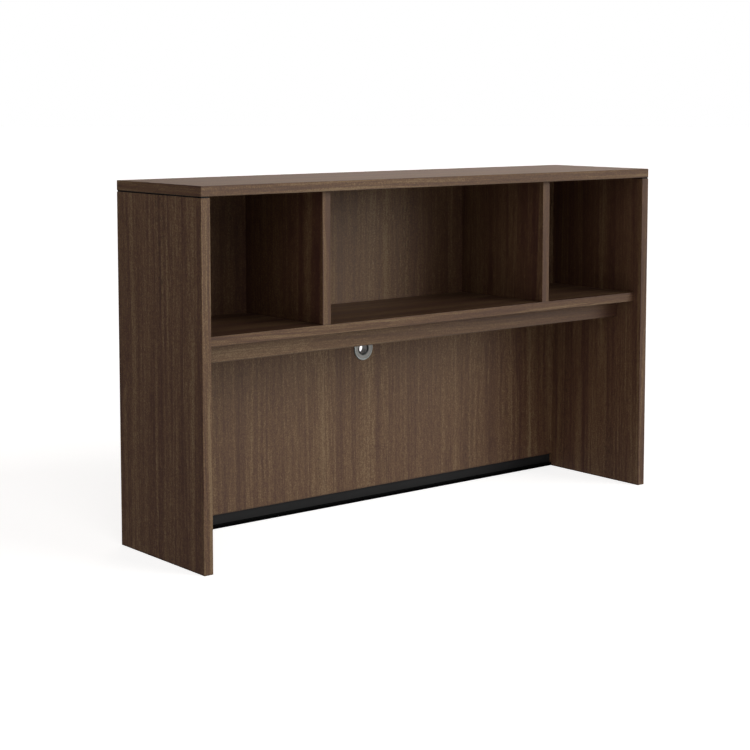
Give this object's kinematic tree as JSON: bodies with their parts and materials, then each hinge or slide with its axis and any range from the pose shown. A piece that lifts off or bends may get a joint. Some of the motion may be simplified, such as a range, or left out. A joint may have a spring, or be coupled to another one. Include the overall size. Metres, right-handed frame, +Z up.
{
  "type": "desk hutch",
  "caption": "Open desk hutch with a shelf divided into bays, a valance, a full-width back with a cable grommet and a steel foot rail.",
  "frame": {"origin": "on the desk surface, under the middle of the hutch's overall box", "axes": "+Z up; the open front faces -Y; +X to the right of a person at the desk"},
  "size_m": [1.524, 0.372, 0.914],
  "materials": {
    "walnut_laminate": "satin walnut-grain laminate",
    "walnut_edging": "satin walnut-grain edging",
    "reveal_plastic": "matt black",
    "rail_steel": "fine-textured black powder coat",
    "zinc_steel": "bright zinc plate",
    "grommet_metal": "satin nickel",
    "insert_brass": "plain turned brass",
    "beech": "unfinished beech"
  },
  "bodies": {
    "root": {"top_panel": "walnut_laminate", "left_end_panel": "walnut_laminate", "right_end_panel": "walnut_laminate", "shelf": "walnut_laminate", "left_divider": "walnut_laminate", "right_divider": "walnut_laminate", "valance": "walnut_laminate", "back_panel": "walnut_laminate", "top_front_band": "walnut_edging", "top_rear_band": "walnut_edging", "top_left_band": "walnut_edging", "top_right_band": "walnut_edging", "left_end_front_band": "walnut_edging", "right_end_front_band": "walnut_edging", "left_end_rear_band": "walnut_edging", "right_end_rear_band": "walnut_edging", "left_end_bottom_band": "walnut_edging", "right_end_bottom_band": "walnut_edging", "shelf_front_band": "walnut_edging", "left_divider_front_band": "walnut_edging", "right_divider_front_band": "walnut_edging", "valance_bottom_band": "walnut_edging", "back_panel_bottom_band": "walnut_edging", "left_reveal_strip": "reveal_plastic", "right_reveal_strip": "reveal_plastic", "bottom_rail": "rail_steel", "bottom_rail_screws": "zinc_steel", "grommet_bezel": "grommet_metal", "grommet_rear_collar": "grommet_metal", "desk_inserts": "insert_brass", "top_dowels": "beech", "shelf_dowels": "beech", "divider_dowels": "beech", "valance_dowels": "beech", "back_panel_dowels": "beech"}
  },
  "joints": []
}
